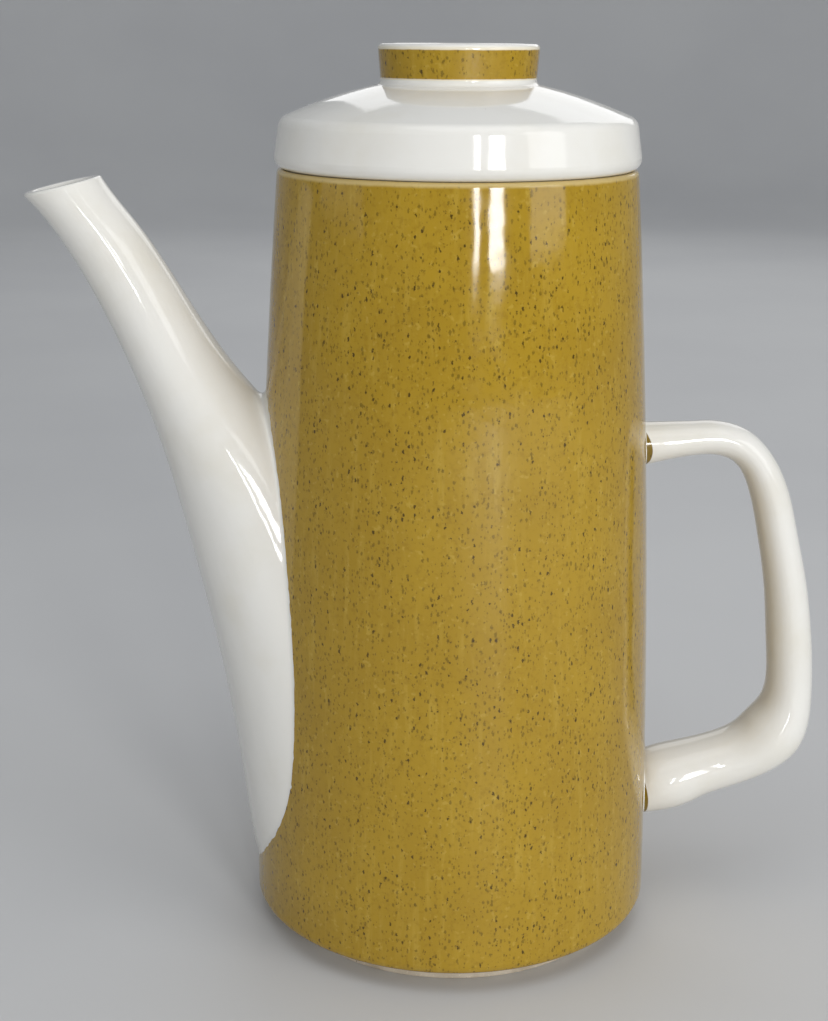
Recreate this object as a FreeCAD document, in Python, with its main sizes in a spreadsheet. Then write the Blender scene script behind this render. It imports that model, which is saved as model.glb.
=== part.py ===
import FreeCAD, Part
import math
import os
import Sketcher

# A tall glazed stoneware coffee pot with a lift-off lid.
# Frame: +Z up, the pot's axis on Z, the table at Z = 0, the spout towards -X and the handle towards +X.
# All sizes are in millimetres and live in the sheet "dims".

V = FreeCAD.Vector

SIZES = [
    # overall form of the pot
    ("foot_height", 6.0, "table to the underside of the pot"),
    ("foot_inset", 8.8, "pot's lower edge to the outside of the foot ring"),
    ("foot_width", 6.0, "radial width of the foot ring"),
    ("foot_rounding", 1.0, "edges of the foot ring"),
    ("pot_height", 233.2, "table to the top of the rim"),
    ("base_radius", 61.8, "outside of the pot at its lower edge"),
    ("rim_radius", 52.3, "outside of the pot at the rim"),
    ("side_bulge", 2.0, "how far the side bows out from a straight taper"),
    ("wall", 4.5, "side wall of the pot"),
    ("floor_thickness", 5.0, "floor of the pot"),
    ("base_rounding", 3.0, "lower outside edge of the pot"),
    ("floor_rounding", 8.0, "corner between floor and side, inside"),
    ("rim_rounding", 1.3, "both edges of the rim"),
    # lid
    ("lid_overhang", 1.3, "how far the lid's lower edge stands out over the rim"),
    ("lid_shoulder_inset", 0.8, "outside of the rim to where the lid's side meets the cone, on the radius"),
    ("lid_side_height", 14.1, "lower edge of the lid to that corner"),
    ("lid_cone_height", 9.2, "that corner to the foot of the knob"),
    ("lid_cone_bulge", 0.8, "how far the cone bows up from straight"),
    ("lid_wall", 4.2, "thickness of the lid"),
    ("lid_edge_rounding", 3.3, "lower edge of the lid"),
    ("lid_shoulder_rounding", 3.6, "edge between side and cone"),
    ("flange_clearance", 0.9, "gap between the lid's flange and the neck, on the radius"),
    ("flange_wall", 4.0, "thickness of the flange"),
    ("flange_depth", 14.0, "how far the flange reaches into the neck"),
    ("flange_rounding", 1.2, "lower edges of the flange"),
    # knob
    ("knob_foot_radius", 22.4, "outside of the knob where it stands on the lid"),
    ("knob_flare", 0.8, "how much wider the knob is at its top, on the radius"),
    ("knob_cove", 1.7, "hollow curve between the lid's cone and the knob"),
    ("knob_height", 9.8, "height of the knob"),
    ("knob_wall", 3.9, "thickness of the knob's side and top"),
    ("knob_dish", 0.9, "depth of the dished top"),
    ("knob_rounding", 1.3, "upper edge of the knob"),
    # strainer
    ("strainer_height", 88.0, "table to the middle hole"),
    ("strainer_hole", 6.4, "diameter of a hole"),
    ("strainer_pitch", 13.0, "distance between neighbouring holes"),
    # spout: the stations are listed below
    ("spout_wall", 4.0, "wall of the spout"),
    ("lip_wall", 3.0, "wall of the spout at its mouth"),
    ("lip_rounding", 0.8, "edges of the mouth"),
    ("spout_foot", 14.0, "table to the spout's lowest section"),
    ("mouth_drop", 4.7, "top of the rim down to the middle of the mouth"),
    ("mouth_reach", 52.5, "pot's base radius to the middle of the mouth"),
    ("mouth_length", 23.2, "mouth, from the lip to its back edge"),
    ("mouth_width", 24.0, "mouth, from side to side"),
    ("mouth_tilt", 12.8, "how far the mouth leans outwards, in degrees"),
    # handle: centre line and oval sections
    ("handle_root_depth", 11.8, "pot's base radius in to where the centre line starts and ends"),
    ("handle_top", 150.1, "table to the upper start of the centre line"),
    ("handle_top_rise", 5.0, "rise of the upper arm, in degrees"),
    ("handle_bottom", 34.2, "table to the lower end of the centre line"),
    ("handle_bottom_rise", 18.2, "rise of the lower arm, in degrees"),
    ("handle_room", 45.6, "pot's base radius out to the centre line of the grip"),
    ("upper_bend", 18.4, "radius of the upper bend"),
    ("grip_bend", 217.0, "radius of the long curve of the grip"),
    ("lower_bend", 22.0, "radius of the lower bend"),
    ("arm_thickness", 13.1, "upper arm at the pot"),
    ("neck_thickness", 10.3, "upper arm before the bend"),
    ("bend_thickness", 10.3, "middle of the upper bend"),
    ("grip_thickness", 11.0, "grip below the upper bend"),
    ("palm_thickness", 15.0, "grip above the lower bend"),
    ("corner_thickness", 19.8, "middle of the lower bend"),
    ("elbow_thickness", 18.2, "lower arm after the bend"),
    ("root_thickness", 19.6, "lower arm at the pot"),
    ("grip_extra_width", 3.4, "how much wider than thick the handle is"),
]

# Level sections of the spout, from its lower tip upwards: how far up each stands, in percent of the
# way from the lowest section to the mouth, how far its front and its back stand out from the pot's
# base radius, and its width.
SPOUT_STATIONS = [
    (0.0, -1.5, -57.8, 57.0),
    (6.5, 1.8, -61.8, 70.0),
    (14.9, 4.1, -64.8, 80.0),
    (25.2, 7.2, -61.8, 78.0),
    (37.8, 12.2, -49.8, 69.2),
    (50.3, 18.3, -34.8, 59.2),
    (62.9, 25.2, -17.8, 51.0),
    (75.5, 34.6, 4.5, 38.0),
    (86.7, 45.6, 19.9, 28.4),
    (95.6, 57.4, 32.5, 25.4),
]
FIRST_BORE_STATION = 1


def make_sheet(doc):
    """The driving dimensions, one row each: name, value, what it measures."""
    sheet = doc.addObject("Spreadsheet::Sheet", "dims")
    rows = list(SIZES)
    for number, station in enumerate(SPOUT_STATIONS):
        words = ("up", "front", "back", "width")
        for word, value in zip(words, station):
            rows.append((f"spout_{word}_{number}", value, f"spout section {number}, {word}"))
    for row, (name, value, meaning) in enumerate(rows, 1):
        sheet.set(f"A{row}", name)
        sheet.set(f"B{row}", str(value))
        sheet.set(f"C{row}", meaning)
        sheet.setAlias(f"B{row}", name)
    doc.recompute()
    return sheet


doc = FreeCAD.newDocument("coffee_pot")
sheet = make_sheet(doc)


def value(expression):
    """What an expression over the sheet gives now."""
    return float(sheet.evalExpression(expression))


def add_body(name):
    body = doc.addObject("PartDesign::Body", name)
    body.Label = name
    return body


def origin_plane(body, role):
    return next(feature for feature in body.Origin.OriginFeatures if feature.Role == role)


def plane_sketch(body, name, role):
    sketch = body.newObject("Sketcher::SketchObject", name)
    sketch.AttachmentSupport = (origin_plane(body, role), [""])
    sketch.MapMode = "FlatFace"
    return sketch


def drive(sketch, constraint, name, expression):
    """Add a dimension to a sketch and tie it to the sheet."""
    number = sketch.addConstraint(constraint)
    sketch.renameConstraint(number, name)
    sketch.setExpression(f"Constraints.{name}", expression)


def pin_point(sketch, geometry, end, name, x, z):
    """Hold one end of a sketch line or a sketch point at two expressions."""
    for axis, expression, kind in (("x", x, "DistanceX"), ("z", z, "DistanceY")):
        amount = value(expression)
        if abs(amount) < 1e-9:
            edge = -2 if axis == "x" else -1
            sketch.addConstraint(Sketcher.Constraint("PointOnObject", geometry, end, edge))
        else:
            constraint = Sketcher.Constraint(kind, -1, 1, geometry, end, amount)
            drive(sketch, constraint, f"{name}_{axis}", expression)


def draw_outline(sketch, corners):
    """
    A closed outline through corners, each (name, x, z) with expressions for x and z.
    A corner with a third and fourth expression starts an arc through that point instead of a line.
    """
    points = [V(value(corner[1]), value(corner[2]), 0) for corner in corners]
    count = len(corners)
    ends = []
    for number, corner in enumerate(corners):
        start, stop = points[number], points[(number + 1) % count]
        if len(corner) == 3:
            line = sketch.addGeometry(Part.LineSegment(start, stop), False)
            ends.append((line, 1, 2))
            continue
        through = V(value(corner[3]), value(corner[4]), 0)
        arc = sketch.addGeometry(Part.Arc(start, through, stop), False)
        forward = sketch.getPoint(arc, 1).distanceToPoint(start) < 1e-6
        ends.append((arc, 1, 2) if forward else (arc, 2, 1))
        middle = sketch.addGeometry(Part.Point(through), True)
        sketch.addConstraint(Sketcher.Constraint("PointOnObject", middle, 1, arc))
        pin_point(sketch, middle, 1, corner[0] + "_bow", corner[3], corner[4])
    for number in range(count):
        this, following = ends[number], ends[(number + 1) % count]
        sketch.addConstraint(Sketcher.Constraint("Coincident", this[0], this[2], following[0], following[1]))
    for (geometry, first, _), corner in zip(ends, corners):
        pin_point(sketch, geometry, first, corner[0], corner[1], corner[2])


def revolve(body, name, corners, kind="PartDesign::Revolution"):
    """Turn a half section round the pot's axis, adding to the body or, as a groove, cutting it."""
    sketch = plane_sketch(body, name + "_section", "XZ_Plane")
    draw_outline(sketch, corners)
    feature = body.newObject(kind, name)
    feature.Profile = sketch
    feature.ReferenceAxis = (sketch, ["V_Axis"])
    feature.Angle = 360
    doc.recompute()
    return feature


def rings(feature, *places):
    """Names of the feature's round edges at the given (radius, height) expressions."""
    names = []
    for radius, height in places:
        want = (value(radius), value(height))
        for number, edge in enumerate(feature.Shape.Edges, 1):
            if not edge.Degenerated and isinstance(edge.Curve, Part.Circle):
                have = (edge.Curve.Radius, edge.Curve.Center.z)
                if math.dist(want, have) < 0.01:
                    names.append(f"Edge{number}")
    return names


def round_edges(body, name, base, edges, radius):
    """Fillet named edges of a feature by a size from the sheet."""
    if not edges:
        raise RuntimeError(f"{name}: no edge to round")
    fillet = body.newObject("PartDesign::Fillet", name)
    fillet.Base = (base, edges)
    fillet.setExpression("Radius", radius)
    doc.recompute()
    return fillet


# The outside of the pot. The spout and the handle are cut back to this same curve, so they seat on it.
SIDE_MIDDLE = "(dims.foot_height + dims.pot_height) / 2"
SIDE_MIDDLE_RADIUS = "(dims.base_radius + dims.rim_radius) / 2 + dims.side_bulge"
FLOOR_TOP = "dims.foot_height + dims.floor_thickness"
FLOOR_RADIUS = "dims.base_radius - dims.wall"
NECK_RADIUS = "dims.rim_radius - dims.wall"
FOOT_RADIUS = "dims.base_radius - dims.foot_inset"
MOUTH_HEIGHT = "(dims.pot_height - dims.mouth_drop)"
MOUTH_REACH = "(dims.base_radius + dims.mouth_reach)"
HANDLE_ROOT = "(dims.base_radius - dims.handle_root_depth)"
HANDLE_REACH = "(dims.base_radius + dims.handle_room)"


def outside_of_pot():
    """Half section of everything within the pot's outer skin, from its underside to the rim."""
    return [
        ("under_middle", "0", "dims.foot_height"),
        ("under_edge", "dims.base_radius", "dims.foot_height", SIDE_MIDDLE_RADIUS, SIDE_MIDDLE),
        ("rim_edge", "dims.rim_radius", "dims.pot_height"),
        ("rim_middle", "0", "dims.pot_height"),
    ]


def make_pot_body():
    """The thin-walled, gently tapering pot, open at the neck and pierced behind the spout."""
    body = add_body("pot_body")
    outside = outside_of_pot()[:-1]
    inside = [
        ("neck_edge", NECK_RADIUS, "dims.pot_height", SIDE_MIDDLE_RADIUS + " - dims.wall", SIDE_MIDDLE),
        ("floor_edge", FLOOR_RADIUS, FLOOR_TOP),
        ("floor_middle", "0", FLOOR_TOP),
    ]
    feature = revolve(body, "shell", outside + inside)
    lower = rings(feature, ("dims.base_radius", "dims.foot_height"))
    feature = round_edges(body, "lower_edge", feature, lower, "dims.base_rounding")
    corner = rings(feature, (FLOOR_RADIUS, FLOOR_TOP))
    feature = round_edges(body, "floor_corner", feature, corner, "dims.floor_rounding")
    rim = rings(feature, ("dims.rim_radius", "dims.pot_height"), (NECK_RADIUS, "dims.pot_height"))
    feature = round_edges(body, "rim", feature, rim, "dims.rim_rounding")
    return pierce_strainer(body, feature)


def pierce_strainer(body, shell):
    """Six holes round a seventh, through the wall that the spout covers."""
    sketch = plane_sketch(body, "strainer_holes", "YZ_Plane")
    places = [("0", "dims.strainer_height")]
    for number in range(6):
        angle = 60 * number + 30
        across = f"dims.strainer_pitch * cos({angle} deg)"
        up = f"dims.strainer_height + dims.strainer_pitch * sin({angle} deg)"
        places.append((across, up))
    for number, (across, up) in enumerate(places):
        centre = V(value(across), value(up), 0)
        hole = sketch.addGeometry(Part.Circle(centre, V(0, 0, 1), value("dims.strainer_hole / 2")), False)
        pin_point(sketch, hole, 3, f"hole_{number}", across, up)
        constraint = Sketcher.Constraint("Diameter", hole, value("dims.strainer_hole"))
        drive(sketch, constraint, f"hole_{number}_diameter", "dims.strainer_hole")
    before = shell.Shape.Volume
    pocket = body.newObject("PartDesign::Pocket", "strainer")
    pocket.Profile = sketch
    pocket.Type = 0
    pocket.setExpression("Length", "dims.base_radius + dims.side_bulge")
    doc.recompute()
    # The holes belong on the spout's side, so what is left weighs more towards the handle.
    if pocket.Shape.CenterOfGravity.x <= 0:
        pocket.Reversed = not pocket.Reversed
        doc.recompute()
    if pocket.Shape.CenterOfGravity.x <= 0 or pocket.Shape.Volume >= before:
        raise RuntimeError("the strainer holes missed the spout's side")
    return body


def make_foot_ring():
    """The bare ring that the pot stands on."""
    body = add_body("foot_ring")
    inner = FOOT_RADIUS + " - dims.foot_width"
    ring = revolve(
        body,
        "ring",
        [
            ("lower_inner", inner, "0"),
            ("lower_outer", FOOT_RADIUS, "0"),
            ("upper_outer", FOOT_RADIUS, "dims.foot_height"),
            ("upper_inner", inner, "dims.foot_height"),
        ],
    )
    edges = rings(ring, (inner, "0"), (FOOT_RADIUS, "0"))
    round_edges(body, "edges", ring, edges, "dims.foot_rounding")
    return body


def oval_sketch(sketch, width, thickness, upright):
    """An ellipse about the sketch's origin, its larger width along the sketch's Y, or along its X."""
    half_width, half_thickness = value(width) / 2, value(thickness) / 2
    long_way, short_way = (V(0, 1, 0), V(1, 0, 0)) if upright else (V(1, 0, 0), V(0, 1, 0))
    shape = Part.Ellipse(long_way * half_width, short_way * half_thickness, V(0, 0, 0))
    oval = sketch.addGeometry(shape, False)
    sketch.exposeInternalGeometry(oval)
    sketch.addConstraint(Sketcher.Constraint("Coincident", oval, 3, -1, 1))
    sketch.addConstraint(Sketcher.Constraint("Vertical" if upright else "Horizontal", oval + 1))
    drive(sketch, Sketcher.Constraint("Distance", oval + 1, 2 * half_width), "width", width)
    drive(sketch, Sketcher.Constraint("Distance", oval + 2, 2 * half_thickness), "thickness", thickness)


def spout_section(body, name, number, wall=""):
    """A level oval of the spout, or of its bore when a wall is given."""
    front, back = (f"(dims.base_radius + dims.spout_{end}_{number})" for end in ("front", "back"))
    height = f"dims.spout_foot + ({MOUTH_HEIGHT} - dims.spout_foot) * dims.spout_up_{number} / 100"
    sketch = plane_sketch(body, name, "XY_Plane")
    sketch.setExpression("AttachmentOffset.Base.x", f"-({front} + {back}) / 2")
    sketch.setExpression("AttachmentOffset.Base.z", height)
    doc.recompute()
    oval_sketch(sketch, f"dims.spout_width_{number}{wall}", f"{front} - {back}{wall}", True)
    return sketch


def mouth_section(body, name, wall=""):
    """The oval of the mouth, which leans outwards."""
    sketch = plane_sketch(body, name, "XY_Plane")
    turn = FreeCAD.Rotation(V(0, 1, 0), -value("dims.mouth_tilt"))
    sketch.AttachmentOffset = FreeCAD.Placement(V(0, 0, 0), turn)
    sketch.setExpression("AttachmentOffset.Rotation.Angle", "-dims.mouth_tilt")
    sketch.setExpression("AttachmentOffset.Base.x", f"-{MOUTH_REACH}")
    sketch.setExpression("AttachmentOffset.Base.z", MOUTH_HEIGHT)
    doc.recompute()
    oval_sketch(sketch, f"dims.mouth_width{wall}", f"dims.mouth_length{wall}", True)
    return sketch


def loft(body, kind, name, sections):
    feature = body.newObject(kind, name)
    feature.Profile = sections[0]
    feature.Sections = [(section, [""]) for section in sections[1:]]
    feature.Ruled = False
    doc.recompute()
    return feature


def make_spout():
    """A hollow horn, lofted through ovals, whose open root is saddled onto the pot."""
    body = add_body("spout")
    count = len(SPOUT_STATIONS)
    outside = [spout_section(body, f"outside_{number}", number) for number in range(count)]
    outside.append(mouth_section(body, "outside_mouth"))
    horn = loft(body, "PartDesign::AdditiveLoft", "horn", outside)
    wall = " - 2 * dims.spout_wall"
    bore = [spout_section(body, f"bore_{n}", n, wall) for n in range(FIRST_BORE_STATION, count)]
    bore.append(mouth_section(body, "bore_mouth", " - 2 * dims.lip_wall"))
    hollow = loft(body, "PartDesign::SubtractiveLoft", "hollow", bore)
    if not hollow.Shape.Volume < 0.8 * horn.Shape.Volume:
        raise RuntimeError("the spout's bore cut nothing")
    saddle = revolve(body, "saddle", outside_of_pot(), "PartDesign::Groove")
    mouth = V(-value(MOUTH_REACH), 0, value(MOUTH_HEIGHT))
    lip = []
    for number, edge in enumerate(saddle.Shape.Edges, 1):
        if edge.CenterOfMass.distanceToPoint(mouth) < value("dims.lip_wall") / 2:
            lip.append(f"Edge{number}")
    round_edges(body, "lip", saddle, lip, "dims.lip_rounding")
    return body


def handle_centre_line(sketch):
    """Upper arm, upper bend, grip, lower bend and lower arm: each runs smoothly into the next."""
    root, reach = value(HANDLE_ROOT), value(HANDLE_REACH)
    upper, grip, lower = value("dims.upper_bend"), value("dims.grip_bend"), value("dims.lower_bend")
    rise, slope = math.radians(value("dims.handle_top_rise")), math.radians(value("dims.handle_bottom_rise"))
    top, bottom = V(root, value("dims.handle_top"), 0), V(root, value("dims.handle_bottom"), 0)
    # The grip ends, upright, at the height where the lower bend also meets the lower arm.
    run = reach - lower - root
    upright = bottom.y + (lower + math.sin(slope) * run) / math.cos(slope)
    grip_centre, lower_centre = V(reach - grip, upright, 0), V(reach - lower, upright, 0)
    # The upper bend touches the upper arm from below and the grip's circle from within.
    along, down = V(math.cos(rise), math.sin(rise), 0), V(math.sin(rise), -math.cos(rise), 0)
    away = top + down * upper - grip_centre
    across = away.dot(along)
    reach_along = -across + math.sqrt(across**2 - away.dot(away) + (grip - upper) ** 2)
    upper_centre = top + down * upper + along * reach_along
    upper_start = upper_centre - down * upper
    out = (upper_centre - grip_centre).normalize()
    upper_end = upper_centre + out * upper
    grip_end = V(reach, upright, 0)
    lower_end = lower_centre + V(math.sin(slope), -math.cos(slope), 0) * lower

    def bend(start, centre, radius, stop):
        middle = centre + ((start - centre) + (stop - centre)).normalize() * radius
        return Part.Arc(start, middle, stop)

    pieces = [
        Part.LineSegment(top, upper_start),
        bend(upper_start, upper_centre, upper, upper_end),
        bend(upper_end, grip_centre, grip, grip_end),
        bend(grip_end, lower_centre, lower, lower_end),
        Part.LineSegment(lower_end, bottom),
    ]
    for piece in pieces:
        sketch.addGeometry(piece, False)
    # Arcs of a sketch run anticlockwise, so each bend here starts at its lower end.
    sketch.addConstraint(Sketcher.Constraint("Tangent", 0, 2, 1, 2))
    sketch.addConstraint(Sketcher.Constraint("Tangent", 1, 1, 2, 2))
    sketch.addConstraint(Sketcher.Constraint("Tangent", 2, 1, 3, 2))
    sketch.addConstraint(Sketcher.Constraint("Tangent", 3, 1, 4, 1))
    pin_point(sketch, 0, 1, "top", HANDLE_ROOT, "dims.handle_top")
    pin_point(sketch, 4, 2, "bottom", HANDLE_ROOT, "dims.handle_bottom")
    for geometry, name in ((1, "upper_bend"), (2, "grip_bend"), (3, "lower_bend")):
        constraint = Sketcher.Constraint("Radius", geometry, value(f"dims.{name}"))
        drive(sketch, constraint, name, f"dims.{name}")
    drive(sketch, Sketcher.Constraint("DistanceX", -1, 1, 2, 1, reach), "reach", HANDLE_REACH)
    sketch.addConstraint(Sketcher.Constraint("Horizontal", 2, 3, 2, 1))
    drive(sketch, Sketcher.Constraint("Angle", -1, 0, rise), "rise", "dims.handle_top_rise * 1 deg")
    slope_line = Sketcher.Constraint("Angle", -1, 4, math.pi + slope)
    drive(sketch, slope_line, "slope", "180 deg + dims.handle_bottom_rise * 1 deg")


def handle_section(body, name, spine, edge, share, thickness):
    """An oval square to the centre line, its long axis across the loop."""
    sketch = body.newObject("Sketcher::SketchObject", name)
    sketch.AttachmentSupport = (spine, [edge])
    sketch.MapMode = "NormalToEdge"
    sketch.MapPathParameter = share
    doc.recompute()
    across = sketch.Placement.Rotation.inverted().multVec(V(0, -1, 0))
    turn = math.degrees(math.atan2(across.y, across.x))
    sketch.AttachmentOffset = FreeCAD.Placement(V(0, 0, 0), FreeCAD.Rotation(V(0, 0, 1), turn))
    doc.recompute()
    oval_sketch(sketch, f"{thickness} + dims.grip_extra_width", thickness, False)
    return sketch


def make_handle():
    """A solid loop of oval section, thin at the upper arm and stout where it joins the pot below."""
    body = add_body("handle")
    spine = plane_sketch(body, "centre_line", "XZ_Plane")
    handle_centre_line(spine)
    doc.recompute()
    # Piece of the centre line, its thickness at both ends, and where along it the ovals stand.
    stretches = [
        ("Edge1", "arm", "neck", (0, 0.5)),
        ("Edge2", "neck", "bend", (0,)),
        ("Edge2", "bend", "bend", (0.5,)),
        ("Edge3", "grip", "palm", (0, 0.25, 0.5, 0.75)),
        ("Edge4", "palm", "corner", (0,)),
        ("Edge4", "corner", "corner", (0.5,)),
        ("Edge5", "elbow", "root", (0, 0.33, 0.67, 1)),
    ]
    sections = []
    for edge, first, last, shares in stretches:
        for share in shares:
            name = f"oval_{len(sections)}"
            thickness = f"(dims.{first}_thickness * {1 - share} + dims.{last}_thickness * {share})"
            sections.append(handle_section(body, name, spine, edge, share, thickness))
    loft(body, "PartDesign::AdditiveLoft", "loop", sections)
    revolve(body, "seats", outside_of_pot(), "PartDesign::Groove")
    return body


# The lid stands on the rim, so its heights are counted from there.
SHOULDER = "dims.pot_height + dims.lid_side_height"
CONE_TOP = SHOULDER + " + dims.lid_cone_height"
KNOB_FOOT = CONE_TOP + " + dims.knob_cove"
KNOB_TOP = KNOB_FOOT + " + dims.knob_height"
CONE_EDGE = "dims.knob_foot_radius + dims.knob_cove"
LID_RADIUS = "dims.rim_radius + dims.lid_overhang"
SHOULDER_RADIUS = "dims.rim_radius - dims.lid_shoulder_inset"
KNOB_TOP_RADIUS = "dims.knob_foot_radius + dims.knob_flare"
FLANGE_RADIUS = NECK_RADIUS + " - dims.flange_clearance"
FLANGE_INSIDE = FLANGE_RADIUS + " - dims.flange_wall"
KNOB_HOLLOW = "dims.knob_foot_radius - dims.knob_wall"


def make_lid_cover():
    """The low cone of the lid: a shell of even thickness with a cove under the knob."""
    body = add_body("lid_cover")
    cone_middle = f"({SHOULDER_RADIUS} + {CONE_EDGE}) / 2"
    cone_middle_height = f"{SHOULDER} + dims.lid_cone_height / 2 + dims.lid_cone_bulge"
    cove_in = "dims.knob_foot_radius + dims.knob_cove * 0.293"
    cove_up = f"{CONE_TOP} + dims.knob_cove * 0.293"
    shoulder_inside = SHOULDER_RADIUS + " - dims.lid_wall"
    cover = revolve(
        body,
        "cover",
        [
            ("seat_inner", FLANGE_INSIDE, "dims.pot_height"),
            ("seat_outer", LID_RADIUS, "dims.pot_height"),
            ("shoulder", SHOULDER_RADIUS, SHOULDER, cone_middle, cone_middle_height),
            ("cone_edge", CONE_EDGE, CONE_TOP, cove_in, cove_up),
            ("knob_seat_outer", "dims.knob_foot_radius", KNOB_FOOT),
            ("knob_seat_inner", KNOB_HOLLOW, KNOB_FOOT),
            (
                "hollow_edge",
                KNOB_HOLLOW,
                CONE_TOP + " - dims.lid_wall",
                cone_middle + " - dims.lid_wall / 2",
                cone_middle_height + " - dims.lid_wall",
            ),
            ("shoulder_inner", shoulder_inside, SHOULDER + " - dims.lid_wall"),
            ("groove_outer", shoulder_inside, "dims.pot_height + dims.lid_wall + dims.flange_rounding"),
            ("groove_inner", FLANGE_INSIDE, "dims.pot_height + dims.lid_wall"),
        ],
    )
    lower = rings(cover, (LID_RADIUS, "dims.pot_height"))
    feature = round_edges(body, "lower_edge", cover, lower, "dims.lid_edge_rounding")
    shoulder = rings(feature, (SHOULDER_RADIUS, SHOULDER))
    round_edges(body, "shoulder_edge", feature, shoulder, "dims.lid_shoulder_rounding")
    return body


def make_lid_flange():
    """The ring under the lid that keeps it centred in the neck."""
    body = add_body("lid_flange")
    lower = "dims.pot_height - dims.flange_depth"
    ring = revolve(
        body,
        "ring",
        [
            ("lower_inner", FLANGE_INSIDE, lower),
            ("lower_outer", FLANGE_RADIUS, lower),
            ("upper_outer", FLANGE_RADIUS, "dims.pot_height"),
            ("upper_inner", FLANGE_INSIDE, "dims.pot_height"),
        ],
    )
    edges = rings(ring, (FLANGE_INSIDE, lower), (FLANGE_RADIUS, lower))
    round_edges(body, "lower_edges", ring, edges, "dims.flange_rounding")
    return body


def make_lid_knob():
    """The drum-shaped knob: hollow from below, with a shallow dish on top."""
    body = add_body("lid_knob")
    knob = revolve(
        body,
        "drum",
        [
            ("foot_outer", "dims.knob_foot_radius", KNOB_FOOT),
            ("top_outer", KNOB_TOP_RADIUS, KNOB_TOP),
            ("dish_rim", KNOB_TOP_RADIUS + " - dims.knob_wall", KNOB_TOP),
            ("dish_floor", KNOB_HOLLOW + " - 2 * dims.knob_dish", KNOB_TOP + " - dims.knob_dish"),
            ("dish_middle", "0", KNOB_TOP + " - dims.knob_dish"),
            ("hollow_middle", "0", KNOB_TOP + " - dims.knob_dish - dims.knob_wall"),
            ("hollow_top", KNOB_HOLLOW, KNOB_TOP + " - dims.knob_dish - dims.knob_wall"),
            ("hollow_foot", KNOB_HOLLOW, KNOB_FOOT),
        ],
    )
    upper = rings(knob, (KNOB_TOP_RADIUS, KNOB_TOP))
    round_edges(body, "upper_edge", knob, upper, "dims.knob_rounding")
    return body


def check_document():
    """Stop when any object of the document failed to build."""
    for item in doc.Objects:
        if "Invalid" in item.State or "Error" in item.State:
            raise RuntimeError(f"{item.Label} did not build: {item.State}")


def write_parts(pieces):
    """Check each piece's solid, then write one file for each."""
    for piece in pieces:
        shape = piece.Shape
        if shape.isNull() or not shape.isValid() or len(shape.Solids) != 1:
            raise RuntimeError(f"{piece.Label} is not one sound solid")
    os.makedirs("parts", exist_ok=True)
    for piece in pieces:
        piece.Shape.exportStep(f"parts/{piece.Label}.step")
        print(f"{piece.Label}: {piece.Shape.Volume / 1000:.1f} cm3")


pieces = [
    make_pot_body(),
    make_foot_ring(),
    make_spout(),
    make_handle(),
    make_lid_cover(),
    make_lid_flange(),
    make_lid_knob(),
]
doc.recompute()
check_document()
write_parts(pieces)
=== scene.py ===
import math

import bmesh
import bpy
import numpy as np
from mathutils import Matrix, Vector
from mathutils.bvhtree import BVHTree


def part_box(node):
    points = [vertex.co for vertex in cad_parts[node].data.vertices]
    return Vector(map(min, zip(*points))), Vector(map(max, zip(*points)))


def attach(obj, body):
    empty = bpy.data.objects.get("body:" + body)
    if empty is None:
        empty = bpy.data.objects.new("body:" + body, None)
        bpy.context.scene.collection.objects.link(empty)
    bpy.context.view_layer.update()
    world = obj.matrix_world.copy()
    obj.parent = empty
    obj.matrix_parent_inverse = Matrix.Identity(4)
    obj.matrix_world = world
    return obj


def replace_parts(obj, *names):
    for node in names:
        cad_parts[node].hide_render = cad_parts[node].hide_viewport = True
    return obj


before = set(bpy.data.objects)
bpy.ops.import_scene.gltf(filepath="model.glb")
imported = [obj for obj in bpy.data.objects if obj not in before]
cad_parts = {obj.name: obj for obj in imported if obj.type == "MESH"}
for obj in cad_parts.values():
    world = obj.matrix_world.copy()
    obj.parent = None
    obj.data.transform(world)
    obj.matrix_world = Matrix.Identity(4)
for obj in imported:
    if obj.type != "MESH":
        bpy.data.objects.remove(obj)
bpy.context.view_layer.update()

# A glazed coffee pot: its glazes and bare clay, its handle with a straight upper arm, the small
# glaze fillets at its luted joints, a pale sweep, soft lights and the camera.
# Everything is in metres, in the frame of the model.

MM = 0.001


# ---------------------------------------------------------------- sizes read from the model


def vertices(node):
    """All points of a node, one row each."""
    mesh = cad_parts[node].data
    points = np.empty(len(mesh.vertices) * 3)
    mesh.vertices.foreach_get("co", points)
    return points.reshape(-1, 3)


POT_LOW, POT_TOP = (corner.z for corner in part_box("pot_body"))
FLOOR_THICKNESS = 5.0 * MM
FLOOR_TOP = POT_LOW + FLOOR_THICKNESS
KNOB_LOW, KNOB_TOP = (corner.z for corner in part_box("lid_knob"))
# The knob's dish and hollow lie within this radius, and its outer side beyond it.
KNOB_CORE_RADIUS = 20.0 * MM


# The pot's wall is thicker than this, so a point this near to a straight taper is on the outer skin.
SKIN_BAND = 1.5 * MM
LOW_ROUNDING = 4.0 * MM
TOP_ROUNDING = 2.0 * MM


def outer_profile():
    """The pot's outer skin as a quadratic, radius from height, through the model's own points."""
    points = vertices("pot_body")
    height, radius = points[:, 2], np.hypot(points[:, 0], points[:, 1])
    top_radius = radius[height > POT_TOP - TOP_ROUNDING].max()
    taper = np.interp(height, [POT_LOW, POT_TOP], [radius.max(), top_radius])
    between_edges = (height > POT_LOW + LOW_ROUNDING) & (height < POT_TOP - TOP_ROUNDING)
    outer = (radius > taper - SKIN_BAND) & between_edges
    return np.polyfit(height[outer], radius[outer], 2)


SKIN_CURVE, SKIN_SLOPE, SKIN_START = (float(number) for number in outer_profile())


def pot_radius(height):
    """Radius of the pot's outer skin at a height."""
    return (SKIN_CURVE * height + SKIN_SLOPE) * height + SKIN_START


# ---------------------------------------------------------------- material nodes

GLAZE_IOR = 1.5


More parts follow.
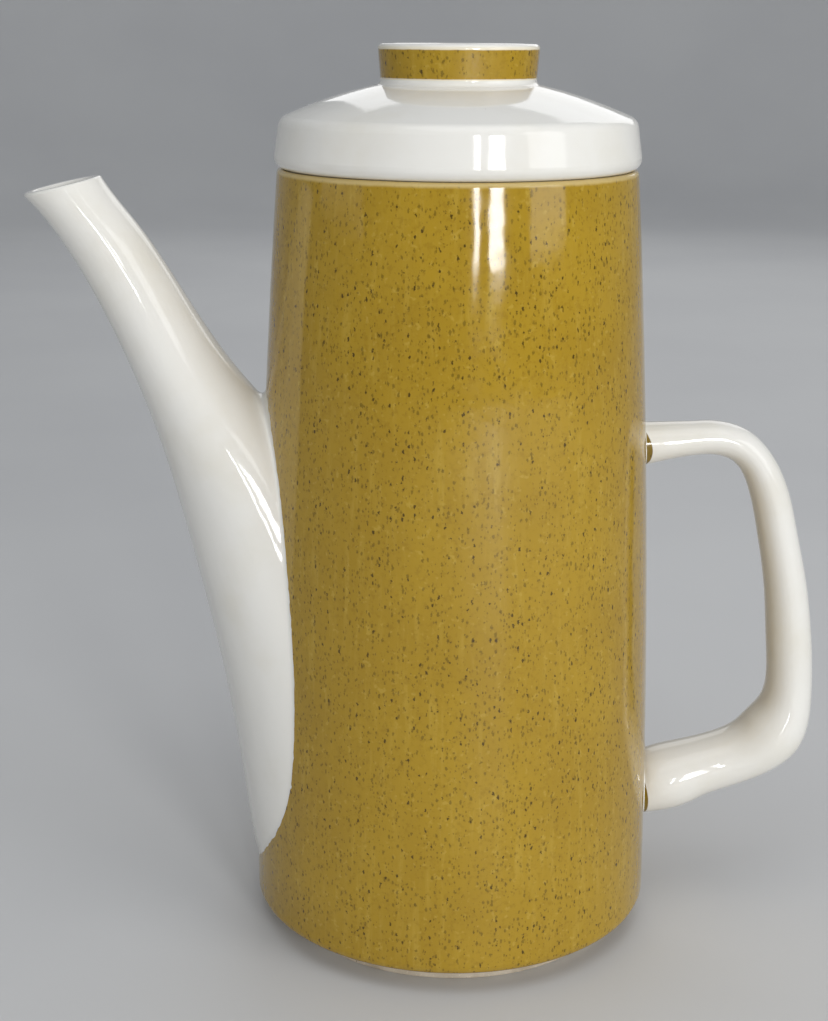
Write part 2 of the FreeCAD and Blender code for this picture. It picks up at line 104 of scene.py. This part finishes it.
class Surface:
    """One material, with short names for the nodes that this scene uses."""

    def __init__(self, name):
        self.material = bpy.data.materials.new(name)
        self.material.use_nodes = True
        self.tree = self.material.node_tree
        self.shader = self.tree.nodes["Principled BSDF"]
        self.place = self.node("ShaderNodeTexCoord").outputs["Object"]
        parts = self.node("ShaderNodeSeparateXYZ", {"Vector": self.place})
        self.x, self.y, self.z = (parts.outputs[axis] for axis in "XYZ")

    def node(self, kind, inputs=None, **settings):
        """A new node. Its inputs go by name, or by number where several share a name."""
        made = self.tree.nodes.new(kind)
        for name, value in settings.items():
            setattr(made, name, value)
        for name, value in (inputs or {}).items():
            self.feed(made.inputs[name], value)
        return made

    def feed(self, socket, value):
        """Link a socket, or set it when the value is a plain number or colour."""
        if isinstance(value, bpy.types.NodeSocket):
            self.tree.links.new(value, socket)
        else:
            socket.default_value = value

    def math(self, operation, first, second=0.0, clamp=False):
        inputs = {0: first, 1: second}
        return self.node("ShaderNodeMath", inputs, operation=operation, use_clamp=clamp).outputs[0]

    def scaled(self, value, factor, offset):
        """value times factor plus offset."""
        inputs = {0: value, 1: factor, 2: offset}
        return self.node("ShaderNodeMath", inputs, operation="MULTIPLY_ADD").outputs[0]

    def step(self, value, low, high):
        """0 below low, 1 above high and smooth between; it falls instead when low is above high."""
        ends = {"Value": value, "From Min": min(low, high), "From Max": max(low, high)}
        rising = low < high
        ends.update({"To Min": 0.0 if rising else 1.0, "To Max": 1.0 if rising else 0.0})
        return self.node("ShaderNodeMapRange", ends, interpolation_type="SMOOTHSTEP").outputs["Result"]

    def mix(self, share, first, second):
        """A colour between two colours."""
        ends = {"Factor": share, 6: first, 7: second}
        return self.node("ShaderNodeMix", ends, data_type="RGBA").outputs[2]

    def laid(self, colour, over, mask, share):
        """A colour with another laid over it where the mask is 1, covering a share of it."""
        return self.mix(self.math("MULTIPLY", mask, share), colour, over)

    def stretched(self, across, up):
        """The surface's place, scaled by one number level and another upwards."""
        inputs = {"Vector": self.place, "Scale": (across, across, up)}
        return self.node("ShaderNodeMapping", inputs).outputs["Vector"]

    def noise(self, scale, detail=3.0, roughness=0.5, place=None):
        """Noise from 0 to 1, whose scale is in waves per metre."""
        inputs = {"Vector": place or self.place, "Scale": scale, "Detail": detail, "Roughness": roughness}
        return self.node("ShaderNodeTexNoise", inputs).outputs[0]

    def radius(self):
        """Distance from the pot's axis."""
        squares = self.scaled(self.y, self.y, self.math("MULTIPLY", self.x, self.x))
        return self.math("SQRT", squares)

    def bump(self, height, distance):
        inputs = {"Height": height, "Distance": distance, "Strength": 1.0}
        return self.node("ShaderNodeBump", inputs).outputs["Normal"]

    def finish(self, colour, roughness, normal):
        self.feed(self.shader.inputs["Base Color"], colour)
        self.feed(self.shader.inputs["Roughness"], roughness)
        self.feed(self.shader.inputs["Normal"], normal)
        self.shader.inputs["IOR"].default_value = GLAZE_IOR
        return self.material


# ---------------------------------------------------------------- glazes

OCHRE = (0.400, 0.250, 0.014, 1.0)
OCHRE_DEEP = (0.285, 0.165, 0.007, 1.0)
OCHRE_PALE = (0.500, 0.345, 0.050, 1.0)
OCHRE_THIN = (0.620, 0.470, 0.190, 1.0)
IRON = (0.055, 0.030, 0.002, 1.0)
IRON_FAINT = (0.110, 0.068, 0.003, 1.0)
WHITE = (0.820, 0.805, 0.755, 1.0)
WHITE_WARM = (0.780, 0.755, 0.680, 1.0)
CREAM = (0.830, 0.760, 0.600, 1.0)
CLAY = (0.560, 0.490, 0.390, 1.0)
CLAY_DARK = (0.400, 0.330, 0.240, 1.0)

# Heights are scaled by this for the specks, so that they come out a little taller than wide.
SPECK_SQUEEZE = 0.62
# How strongly the specks gather where the clustered noise is high.
CLUSTERING = 1.3


def specks(surface, cell, size, share, clustered):
    """
    Iron specks in the glaze as a mask: one to a cell at most, of a size in metres.
    About a share of the cells has one, and more have it where the clustered noise is high.
    """
    shaking = {"Vector": surface.place, "Scale": 2.6 / cell, "Detail": 2.0}
    shaken = surface.node("ShaderNodeTexNoise", shaking).outputs["Color"]
    nudge = {0: shaken, 1: (0.5 * cell, 0.5 * cell, 0.8 * cell)}
    nudged = surface.node("ShaderNodeVectorMath", nudge, operation="MULTIPLY").outputs[0]
    move = {0: surface.stretched(1.0, SPECK_SQUEEZE), 1: nudged}
    moved = surface.node("ShaderNodeVectorMath", move, operation="ADD").outputs[0]
    cells = surface.node("ShaderNodeTexVoronoi", {"Vector": moved, "Scale": 1.0 / cell})
    chance = surface.node("ShaderNodeSeparateColor", {"Color": cells.outputs["Color"]}).outputs["Red"]
    luck = surface.math("ADD", chance, surface.scaled(clustered, CLUSTERING, -0.5 * CLUSTERING))
    grown = surface.math("MULTIPLY", surface.math("SUBTRACT", luck, 1.0 - share), 4.0, clamp=True)
    inside = surface.math("SUBTRACT", surface.math("MULTIPLY", grown, size / cell), cells.outputs["Distance"])
    return surface.step(inside, 0.0, 0.5 * size / cell)


def ochre(surface):
    """Colour of the mustard glaze: clouded, faintly streaked downwards and peppered with iron."""
    clouds = surface.step(surface.noise(26.0, 4.0, 0.6), 0.66, 0.34)
    streaks = surface.step(surface.noise(1.0, 5.0, 0.62, surface.stretched(380.0, 42.0)), 0.50, 0.74)
    mottle = surface.step(surface.noise(620.0, 3.0, 0.6), 0.50, 0.70)
    glints = surface.step(surface.noise(520.0, 2.0, 0.5), 0.60, 0.74)
    clustered = surface.noise(120.0, 3.0, 0.65)
    faint = specks(surface, 1.35 * MM, 0.50 * MM, 0.68, clustered)
    fine = specks(surface, 0.90 * MM, 0.30 * MM, 0.60, clustered)
    strong = specks(surface, 1.60 * MM, 0.46 * MM, 0.48, clustered)
    colour = surface.laid(OCHRE, OCHRE_DEEP, clouds, 0.35)
    colour = surface.laid(colour, OCHRE_PALE, streaks, 0.40)
    colour = surface.laid(colour, OCHRE_DEEP, mottle, 0.50)
    colour = surface.laid(colour, OCHRE_PALE, glints, 0.50)
    colour = surface.laid(colour, IRON_FAINT, faint, 0.60)
    colour = surface.laid(colour, IRON_FAINT, fine, 0.62)
    return surface.laid(colour, IRON, strong, 0.92)


def white(surface):
    """Colour of the off-white glaze: very slightly uneven, with a stray speck here and there."""
    clouds = surface.noise(42.0, 4.0, 0.55)
    colour = surface.mix(surface.step(clouds, 0.42, 0.78), WHITE, WHITE_WARM)
    rare = specks(surface, 6.5 * MM, 0.30 * MM, 0.16, surface.noise(60.0, 1.0))
    return surface.laid(colour, IRON_FAINT, rare, 0.55)


def glaze_skin(surface, roughness):
    """Roughness and relief of a fired glaze: glassy, with soft waves and the finest orange peel."""
    waves = surface.noise(55.0, 2.0, 0.45)
    peel = surface.noise(620.0, 2.0, 0.5)
    soft = surface.bump(waves, 0.16 * MM)
    fine = surface.bump(peel, 0.004 * MM)
    surface.feed(fine.node.inputs["Normal"], soft)
    uneven = {"Value": surface.noise(150.0, 3.0), "From Min": 0.3, "From Max": 0.7}
    uneven.update({"To Min": 0.7 * roughness, "To Max": 1.4 * roughness})
    return surface.node("ShaderNodeMapRange", uneven).outputs["Result"], fine


def ragged(surface, value, amount, scale=240.0):
    """A place or distance whose lines waver a little, as a glaze's edge does."""
    waver = surface.scaled(surface.noise(scale, 2.0), 2 * amount, -amount)
    return surface.math("ADD", value, waver)


def depth_below_skin(surface):
    """How far a point of the pot lies inside its outer skin, measured level."""
    slope = surface.scaled(surface.z, SKIN_CURVE, SKIN_SLOPE)
    skin = surface.scaled(surface.z, slope, SKIN_START)
    return surface.math("SUBTRACT", skin, surface.radius())


def body_glaze():
    """Ochre outside, off-white inside, and a pale line where the glaze thins on the rim."""
    surface = Surface("body_glaze")
    height = ragged(surface, surface.z, 0.25 * MM)
    on_rim = surface.step(height, POT_TOP - 1.7 * MM, POT_TOP - 0.7 * MM)
    low_edge = surface.step(height, POT_LOW + 1.6 * MM, POT_LOW + 0.4 * MM)
    above_floor = surface.step(surface.z, FLOOR_TOP - 2.0 * MM, FLOOR_TOP - 1.0 * MM)
    within = surface.step(ragged(surface, depth_below_skin(surface), 0.2 * MM), 2.0 * MM, 2.8 * MM)
    colour = surface.laid(ochre(surface), OCHRE_THIN, on_rim, 0.85)
    colour = surface.laid(colour, OCHRE_DEEP, low_edge, 0.45)
    colour = surface.laid(colour, white(surface), above_floor, within)
    roughness, normal = glaze_skin(surface, 0.085)
    return surface.finish(colour, roughness, normal)


def plain_white_glaze():
    surface = Surface("white_glaze")
    roughness, normal = glaze_skin(surface, 0.075)
    return surface.finish(white(surface), roughness, normal)


# The ochre glaze laps onto the handle's upper and lower root in a crescent on each side:
# height of its middle, half its height, and how far it reaches from the pot.
CRESCENTS = [(150.0 * MM, 6.0 * MM, 2.2 * MM), (35.8 * MM, 7.8 * MM, 1.6 * MM)]
# It is darkened there with painted shade, standing in for the shadow that the roots sit in.
CRESCENT_PAINTED_SHADE = (0.100, 0.070, 0.012, 1.0)


def handle_glaze():
    """Off-white, with the crescents of ochre at the roots, darkened with painted shade."""
    surface = Surface("handle_glaze")
    distance = surface.math("MULTIPLY", depth_below_skin(surface), -1.0)
    mask = None
    for middle, half, reach in CRESCENTS:
        share = surface.math("DIVIDE", surface.math("SUBTRACT", surface.z, middle), half)
        width = surface.math("SUBTRACT", 1.0, surface.math("MULTIPLY", share, share))
        room = surface.math("SUBTRACT", surface.math("MULTIPLY", width, reach), distance)
        crescent = surface.step(ragged(surface, room, 0.05 * MM, 500.0), 0.0, 0.22 * MM)
        mask = crescent if mask is None else surface.math("MAXIMUM", mask, crescent)
    # The crescents' real ochre is mixed with a dark colour, painted shade for the shadow at the roots.
    lapped_ochre_and_painted_shade = surface.mix(0.6, ochre(surface), CRESCENT_PAINTED_SHADE)
    colour = surface.mix(mask, white(surface), lapped_ochre_and_painted_shade)
    roughness, normal = glaze_skin(surface, 0.075)
    return surface.finish(colour, roughness, normal)


def knob_glaze():
    """A speckled ochre band between the off-white of the lid and an off-white top."""
    surface = Surface("knob_glaze")
    height = ragged(surface, surface.z, 0.12 * MM, 300.0)
    low = surface.step(height, KNOB_LOW + 0.25 * MM, KNOB_LOW + 0.55 * MM)
    high = surface.step(height, KNOB_TOP - 1.35 * MM, KNOB_TOP - 1.75 * MM)
    outside = surface.step(surface.radius(), KNOB_CORE_RADIUS, KNOB_CORE_RADIUS + 0.6 * MM)
    band = surface.math("MULTIPLY", surface.math("MULTIPLY", low, high), outside)
    top = surface.mix(surface.step(height, KNOB_TOP - 1.2 * MM, KNOB_TOP - 0.3 * MM), CREAM, white(surface))
    colour = surface.mix(band, top, ochre(surface))
    roughness, normal = glaze_skin(surface, 0.080)
    return surface.finish(colour, roughness, normal)


def bare_clay():
    """Sanded stoneware, matt and pale, with dark grains and a trace of glaze at its top."""
    surface = Surface("bare_clay")
    grain = surface.noise(1500.0, 4.0, 0.65)
    clouds = surface.noise(120.0, 3.0)
    colour = surface.mix(surface.step(clouds, 0.38, 0.70), CLAY, CLAY_DARK)
    colour = surface.laid(colour, CREAM, surface.step(grain, 0.55, 0.70), 0.5)
    dark = specks(surface, 1.6 * MM, 0.26 * MM, 0.5, surface.noise(90.0, 1.0))
    colour = surface.laid(colour, IRON, dark, 0.7)
    stained = surface.step(ragged(surface, surface.z, 0.35 * MM), POT_LOW - 1.5 * MM, POT_LOW - 0.6 * MM)
    colour = surface.mix(stained, colour, OCHRE_DEEP)
    roughness = surface.scaled(surface.step(grain, 0.2, 0.9), 0.25, 0.62)
    return surface.finish(colour, roughness, surface.bump(grain, 0.05 * MM))


def give(node, material):
    """Put one material on a carried-over node."""
    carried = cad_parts[node]
    if not carried.material_slots:
        carried.data.materials.append(material)
    for place in carried.material_slots:
        place.material = material


white_skin = plain_white_glaze()
handle_skin = handle_glaze()
give("pot_body", body_glaze())
give("foot_ring", bare_clay())
give("spout", white_skin)
give("handle", handle_skin)
give("lid_cover", white_skin)
give("lid_flange", white_skin)
give("lid_knob", knob_glaze())


# ---------------------------------------------------------------- meshes from the model's nodes

MERGE_DISTANCE = 0.002 * MM
SKIN_TOLERANCE = 0.04 * MM


def joined(node):
    """A node's mesh with its doubled points merged."""
    mesh = bmesh.new()
    mesh.from_mesh(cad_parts[node].data)
    bmesh.ops.remove_doubles(mesh, verts=mesh.verts, dist=MERGE_DISTANCE)
    mesh.normal_update()
    return mesh


def is_on_pot(point):
    """True where a point lies on the pot's outer skin."""
    return abs(math.hypot(point.x, point.y) - pot_radius(point.z)) < SKIN_TOLERANCE


def add_piece(name, mesh, material):
    """A new white-glazed piece from a mesh, riding on the pot."""
    data = bpy.data.meshes.new(name)
    mesh.to_mesh(data)
    piece = bpy.data.objects.new(name, data)
    bpy.context.scene.collection.objects.link(piece)
    data.materials.append(material)
    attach(piece, "pot")
    return piece


# ---------------------------------------------------------------- the handle

# The top of the handle's upper arm runs straight from here to the pot, sinking a little.
ARM_END = 74.0 * MM
ARM_MIDDLE = 150.6 * MM
ARM_SINK = 0.02
# Its height is measured no nearer to the pot than this, from a point this far above its middle.
ARM_CLEAR = 0.4 * MM
ABOVE_ARM = 50.0 * MM
SHARP_ANGLE = 35


def eased_handle():
    """The handle's mesh, with the top of its upper arm made straight up to the pot."""
    mesh = joined("handle")
    tree = BVHTree.FromBMesh(mesh)
    nearest = pot_radius(ARM_MIDDLE) + ARM_CLEAR

    def crest(reach):
        """Height of the arm's top at a distance from the pot's axis."""
        above = Vector((max(reach, nearest), 0.0, ARM_MIDDLE + ABOVE_ARM))
        return tree.ray_cast(above, Vector((0, 0, -1)))[0].z

    level = crest(ARM_END)
    for vertex in mesh.verts:
        place = vertex.co
        if place.x > ARM_END or place.z < ARM_MIDDLE:
            continue
        wanted = level - ARM_SINK * (ARM_END - place.x)
        share = (wanted - ARM_MIDDLE) / (crest(place.x) - ARM_MIDDLE)
        seated = is_on_pot(place)
        place.z = ARM_MIDDLE + (place.z - ARM_MIDDLE) * share
        if seated:
            turn = math.atan2(place.y, place.x)
            place.x = pot_radius(place.z) * math.cos(turn)
            place.y = pot_radius(place.z) * math.sin(turn)
    mesh.normal_update()
    return mesh


def make_handle(mesh):
    """The visible handle, in the place of the model's own."""
    for face in mesh.faces:
        face.smooth = True
    for edge in mesh.edges:
        if edge.calc_face_angle(0.0) > math.radians(SHARP_ANGLE):
            edge.smooth = False
    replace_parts(add_piece("handle_loop", mesh, handle_skin), "handle")


# ---------------------------------------------------------------- glaze fillets at the luted joints

# A saddle's face looks at the pot's axis: the least cosine between the two directions.
FACING = 0.97

BEAD_SPACING = 0.7 * MM
BEAD_STEPS = 8
# The bead's edges sink this far into both skins, and its hidden heel lies this far behind them.
BEAD_SINK = 0.03 * MM
BEAD_HEEL = 0.5 * MM
HANDLE_BEAD = 0.7 * MM
SPOUT_BEAD = 1.0 * MM
CROTCH_BEAD = 4.5 * MM
CROTCH_LENGTH = 22.0 * MM


def is_saddle(face):
    """True on the face that a spout or handle turns to the pot's wall."""
    if not all(is_on_pot(corner.co) for corner in face.verts):
        return False
    middle = face.calc_center_median()
    outward = Vector((middle.x, middle.y, 0)).normalized()
    return face.normal.dot(outward) < -FACING


def seam_loops(mesh):
    """Closed lines where the outer skin meets the saddle: points and the skin's normals, longest first."""
    saddle = {face for face in mesh.faces if is_saddle(face)}
    skin_normal, ways = {}, {}
    for edge in mesh.edges:
        sides = [face in saddle for face in edge.link_faces]
        if sorted(sides) != [False, True]:
            continue
        skin = edge.link_faces[sides.index(False)]
        for this, other in (edge.verts, reversed(edge.verts)):
            ways.setdefault(this, []).append(other)
            skin_normal[this] = skin_normal.get(this, Vector()) + skin.normal
    loops = []
    while ways:
        here = next(iter(ways))
        points, normals = [], []
        while here in ways:
            onward = ways.pop(here)
            points.append(here.co.copy())
            normals.append(skin_normal[here].normalized())
            here = next((vertex for vertex in onward if vertex in ways), None)
        loops.append((np.array(points), np.array(normals)))
    loops.sort(key=lambda loop: -np.ptp(loop[0], axis=0).sum())
    return loops


def evenly(points, normals, spacing):
    """The loop again, with evenly spaced points and its small kinks smoothed away."""
    closed = np.vstack([points, points[:1]])
    around = np.concatenate([[0], np.cumsum(np.linalg.norm(np.diff(closed, axis=0), axis=1))])
    count = max(24, int(around[-1] / spacing))
    wanted = np.arange(count) * around[-1] / count
    rows = np.column_stack([closed, np.vstack([normals, normals[:1]])])
    rows = np.column_stack([np.interp(wanted, around, column) for column in rows.T])
    for _ in range(6):
        rows = (np.roll(rows, 1, axis=0) + 2 * rows + np.roll(rows, -1, axis=0)) / 4
    return rows[:, :3], rows[:, 3:]


def unit(rows):
    return rows / np.linalg.norm(rows, axis=1, keepdims=True)


def glaze_fillet(name, host, loop, reach):
    """
    The concave bead of glaze between the pot's wall and what is luted onto it.
    host is the piece's mesh, and reach tells how far the bead runs onto both at a height.
    """
    points, skin = evenly(*loop, BEAD_SPACING)
    wall = unit(points * [1, 1, 0])
    points = wall * pot_radius(points[:, 2])[:, None] + points * [0, 0, 1]
    along = unit(np.roll(points, -1, axis=0) - np.roll(points, 1, axis=0))
    away = unit(np.cross(along, wall))
    centre = points.mean(axis=0)
    away *= np.sign(((points - centre) * away).sum(axis=1, keepdims=True))
    skin = unit(skin - along * (skin * along).sum(axis=1, keepdims=True))
    lean_away = (skin * away).sum(axis=1, keepdims=True)
    lean_wall = (skin * wall).sum(axis=1, keepdims=True)
    onto = unit(wall * lean_away - away * lean_wall)
    far = np.array([reach(height) for height in points[:, 2]])[:, None]
    on_wall = points + away * far
    flat = unit(on_wall * [1, 1, 0])
    on_wall = flat * (pot_radius(on_wall[:, 2]) - BEAD_SINK)[:, None] + on_wall * [0, 0, 1]
    tree = BVHTree.FromBMesh(host)
    on_skin = []
    for target, normal in zip(points + onto * far, skin):
        nearest = tree.find_nearest(Vector(target))[0]
        on_skin.append(np.array(nearest) - BEAD_SINK * normal)
    on_skin = np.array(on_skin)
    rings = []
    for step in range(BEAD_STEPS + 1):
        share = step / BEAD_STEPS
        left = 1 - share
        rings.append(left**2 * on_wall + 2 * share * left * points + share**2 * on_skin)
    rings.append(points - wall * BEAD_HEEL - skin * BEAD_HEEL)
    sweep_bead(name, rings)


def sweep_bead(name, rings):
    """A closed bead through rings of points, each ring running once round the loop."""
    mesh = bmesh.new()
    rows = [[mesh.verts.new(point) for point in ring] for ring in rings]
    count = len(rows[0])
    for row, following in zip(rows, rows[1:] + rows[:1]):
        for number in range(count):
            after = (number + 1) % count
            mesh.faces.new((row[number], row[after], following[after], following[number]))
    bmesh.ops.recalc_face_normals(mesh, faces=mesh.faces)
    for face in mesh.faces:
        face.smooth = True
    for row in (rows[0], rows[-2], rows[-1]):
        members = set(row)
        for vertex in row:
            for edge in vertex.link_edges:
                if edge.other_vert(vertex) in members:
                    edge.smooth = False
    add_piece(name, mesh, white_skin)


def make_beads(spout, handle):
    """The beads round the spout's outer seam and the handle's two roots, from the pieces' meshes."""
    spout_seam = seam_loops(spout)[0]
    crotch = spout_seam[0][:, 2].max()

    def spout_reach(height):
        """Slim beside the spout, and fuller in the crotch above it."""
        share = max(0.0, (height - crotch) / CROTCH_LENGTH + 1)
        return SPOUT_BEAD + CROTCH_BEAD * share**3

    glaze_fillet("spout_bead", spout, spout_seam, spout_reach)
    for name, loop in zip(("handle_bead_low", "handle_bead_top"), seam_loops(handle)[:2]):
        glaze_fillet(name, handle, loop, lambda height: HANDLE_BEAD)


handle_mesh = eased_handle()
make_handle(handle_mesh)
make_beads(joined("spout"), handle_mesh)


# ---------------------------------------------------------------- stage, light and camera

PAPER = (0.600, 0.600, 0.600, 1.0)
PAPER_LIGHT = (0.640, 0.640, 0.635, 1.0)

# The round sweep: radius of its flat floor, radius of its bend and height of its wall above that.
SWEEP_FLAT = 2.0
SWEEP_BEND = 0.7
SWEEP_WALL = 0.9
BEND_STEPS = 12
SWEEP_SIDES = 96


def stage_material():
    """A pale seamless sheet with the faintest tooth."""
    surface = Surface("sweep_paper")
    clouds = surface.step(surface.noise(3.0, 3.0), 0.3, 0.7)
    tooth = surface.noise(900.0, 2.0)
    roughness = surface.scaled(tooth, 0.1, 0.55)
    return surface.finish(surface.mix(clouds, PAPER, PAPER_LIGHT), roughness, surface.bump(tooth, 0.02 * MM))


def make_sweep():
    """A round floor that curves up into a low wall, so that every view has the same plain ground."""
    outline = [(0.0, 0.0), (0.5 * SWEEP_FLAT, 0.0)]
    for step in range(BEND_STEPS + 1):
        turn = math.radians(90 * step / BEND_STEPS)
        outline.append((SWEEP_FLAT + SWEEP_BEND * math.sin(turn), SWEEP_BEND * (1 - math.cos(turn))))
    outline.append((SWEEP_FLAT + SWEEP_BEND, SWEEP_BEND + SWEEP_WALL))
    mesh = bmesh.new()
    row = [mesh.verts.new((radius, 0.0, height)) for radius, height in outline]
    edges = [mesh.edges.new(pair) for pair in zip(row, row[1:])]
    spin = {"cent": (0, 0, 0), "axis": (0, 0, 1), "angle": 2 * math.pi, "steps": SWEEP_SIDES}
    bmesh.ops.spin(mesh, geom=row + edges, use_merge=True, **spin)
    bmesh.ops.remove_doubles(mesh, verts=mesh.verts, dist=1e-5)
    bmesh.ops.recalc_face_normals(mesh, faces=mesh.faces)
    for face in mesh.faces:
        face.smooth = True
    data = bpy.data.meshes.new("sweep")
    mesh.to_mesh(data)
    mesh.free()
    floor = bpy.data.objects.new("sweep", data)
    bpy.context.scene.collection.objects.link(floor)
    data.materials.append(stage_material())


def soft_light(name, place, width, height, watts):
    """A rectangular soft box aimed at the pot, seen in reflections but not by the camera."""
    data = bpy.data.lights.new(name, "AREA")
    data.shape = "RECTANGLE"
    data.size, data.size_y = width, height
    data.energy = watts
    lamp = bpy.data.objects.new(name, data)
    lamp.location = place
    lamp.rotation_mode = "QUATERNION"
    lamp.rotation_quaternion = (Vector(LIGHTS_AIM) - Vector(place)).to_track_quat("-Z", "Y")
    lamp.visible_camera = False
    bpy.context.scene.collection.objects.link(lamp)


def round_pot(azimuth, distance, height):
    """A place given by its angle from the front, its distance from the pot's axis and its height."""
    turn = math.radians(azimuth)
    return (distance * math.sin(turn), -distance * math.cos(turn), height)


# Where all the soft boxes aim, and the even light of the room around.
LIGHTS_AIM = (0.0, 0.0, 0.14)
ROOM_COLOUR = (0.80, 0.84, 0.90, 1.0)
ROOM_STRENGTH = 0.45


def make_lights():
    """Two upright windows to the front right, a key at the right, and weaker boxes all round."""
    soft_light("window_wide", round_pot(19, 1.7, 0.46), 0.26, 0.50, 10.0)
    soft_light("window_slim", round_pot(7, 1.7, 0.46), 0.09, 0.50, 3.4)
    soft_light("right_key", round_pot(52, 1.7, 0.75), 0.8, 1.1, 6.0)
    soft_light("overhead", (0.1, -0.35, 1.5), 1.3, 1.0, 4.0)
    soft_light("left_fill", round_pot(-80, 1.8, 0.8), 1.2, 1.2, 1.9)
    soft_light("back_fill", round_pot(165, 1.7, 1.0), 1.4, 0.9, 4.5)
    world = bpy.data.worlds.new("soft_room")
    world.use_nodes = True
    background = world.node_tree.nodes["Background"]
    background.inputs["Color"].default_value = ROOM_COLOUR
    background.inputs["Strength"].default_value = ROOM_STRENGTH
    bpy.context.scene.world = world


# The camera stands a little to the left of the front, just above the lid, and looks down.
# Angles are in degrees, the lens and the sensor in millimetres.
CAMERA_AZIMUTH = -4.5
CAMERA_DISTANCE = 0.5051
CAMERA_HEIGHT = 0.2716
CAMERA_HEADING = 3.12
CAMERA_PITCH = 15.68
CAMERA_ROLL = 0.27
CAMERA_LENS = 60.35
CAMERA_SENSOR = 36.0


def make_camera():
    """The camera of the scene, at the photograph's angle."""
    data = bpy.data.cameras.new("camera")
    data.lens = CAMERA_LENS
    data.sensor_width = CAMERA_SENSOR
    data.clip_start = 0.01
    camera = bpy.data.objects.new("camera", data)
    turn = Matrix.Rotation(-math.radians(CAMERA_HEADING), 4, "Z")
    tilt = Matrix.Rotation(math.radians(90 - CAMERA_PITCH), 4, "X")
    roll = Matrix.Rotation(math.radians(CAMERA_ROLL), 4, "Z")
    place = Vector(round_pot(CAMERA_AZIMUTH, CAMERA_DISTANCE, CAMERA_HEIGHT))
    camera.matrix_world = Matrix.Translation(place) @ turn @ tilt @ roll
    bpy.context.scene.collection.objects.link(camera)
    bpy.context.scene.camera = camera


make_sweep()
make_lights()
make_camera()
bpy.context.scene.view_settings.view_transform = "Standard"
